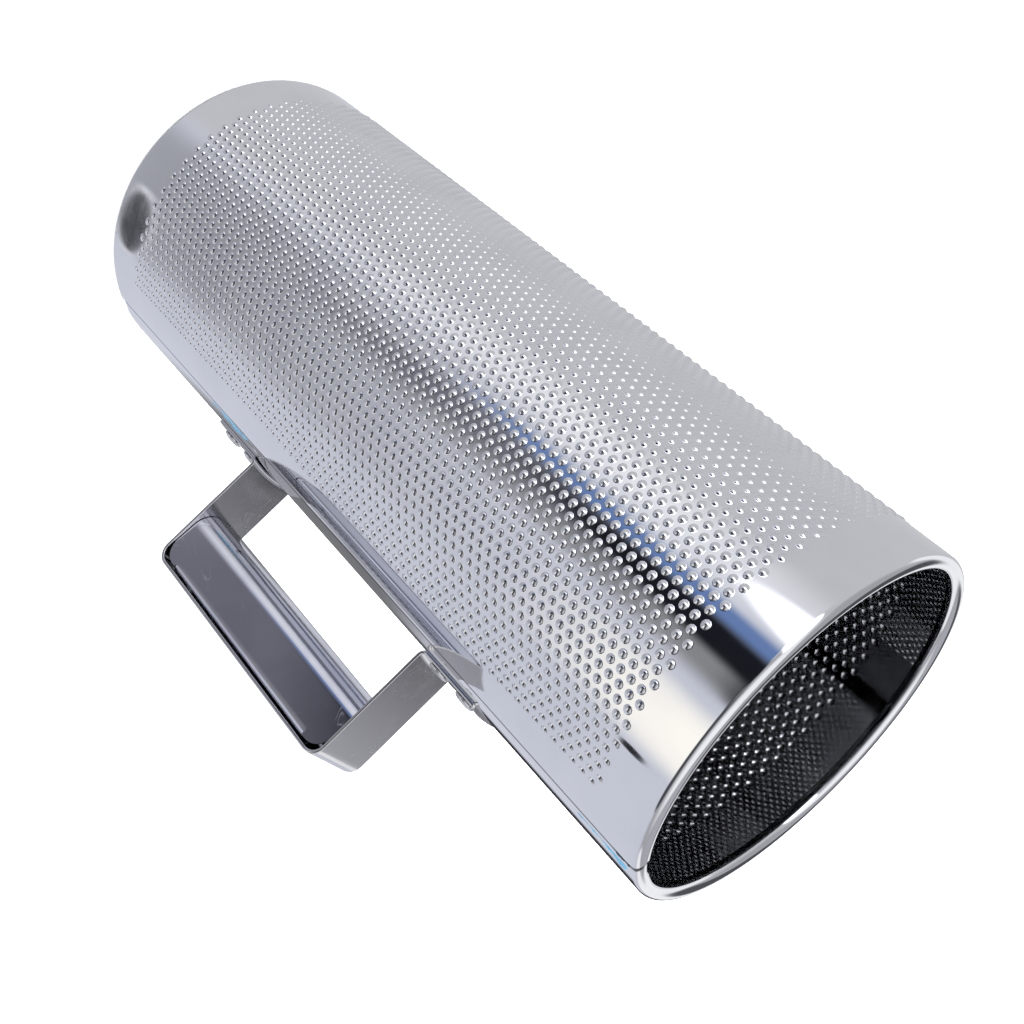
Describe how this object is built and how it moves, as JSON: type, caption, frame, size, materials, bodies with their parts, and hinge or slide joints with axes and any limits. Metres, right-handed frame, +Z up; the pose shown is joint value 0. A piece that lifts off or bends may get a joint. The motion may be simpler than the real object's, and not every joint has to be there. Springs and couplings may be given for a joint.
{
  "type": "metal guira scraper drum",
  "caption": "Open-ended sheet-steel guira drum, covered in fine pressed domes for scraping, with a riveted strap handle and folded grip.",
  "frame": {"origin": "centre of the lower rolled rim's resting plane, on the drum's axis", "axes": "+Z up the drum's axis, +X from the axis towards the middle of the handle, +Y completes the set"},
  "size_m": [0.1736, 0.126, 0.3068],
  "materials": {
    "drum_steel": "bright polished stainless sheet, pressed with small domes",
    "strap_steel": "bright rolled stainless flat bar",
    "grip_steel": "polished stainless sheet with fine handling scratches",
    "rivet_steel": "bright round heads"
  },
  "bodies": {
    "root": {"drum_shell": "drum_steel", "handle_strap": "strap_steel", "grip_sleeve": "grip_steel", "lower_foot_rivet_inner_left": "rivet_steel", "lower_foot_rivet_inner_right": "rivet_steel", "lower_foot_rivet_outer_left": "rivet_steel", "lower_foot_rivet_outer_right": "rivet_steel", "upper_foot_rivet_inner_left": "rivet_steel", "upper_foot_rivet_inner_right": "rivet_steel", "upper_foot_rivet_outer_left": "rivet_steel", "upper_foot_rivet_outer_right": "rivet_steel"}
  },
  "joints": []
}
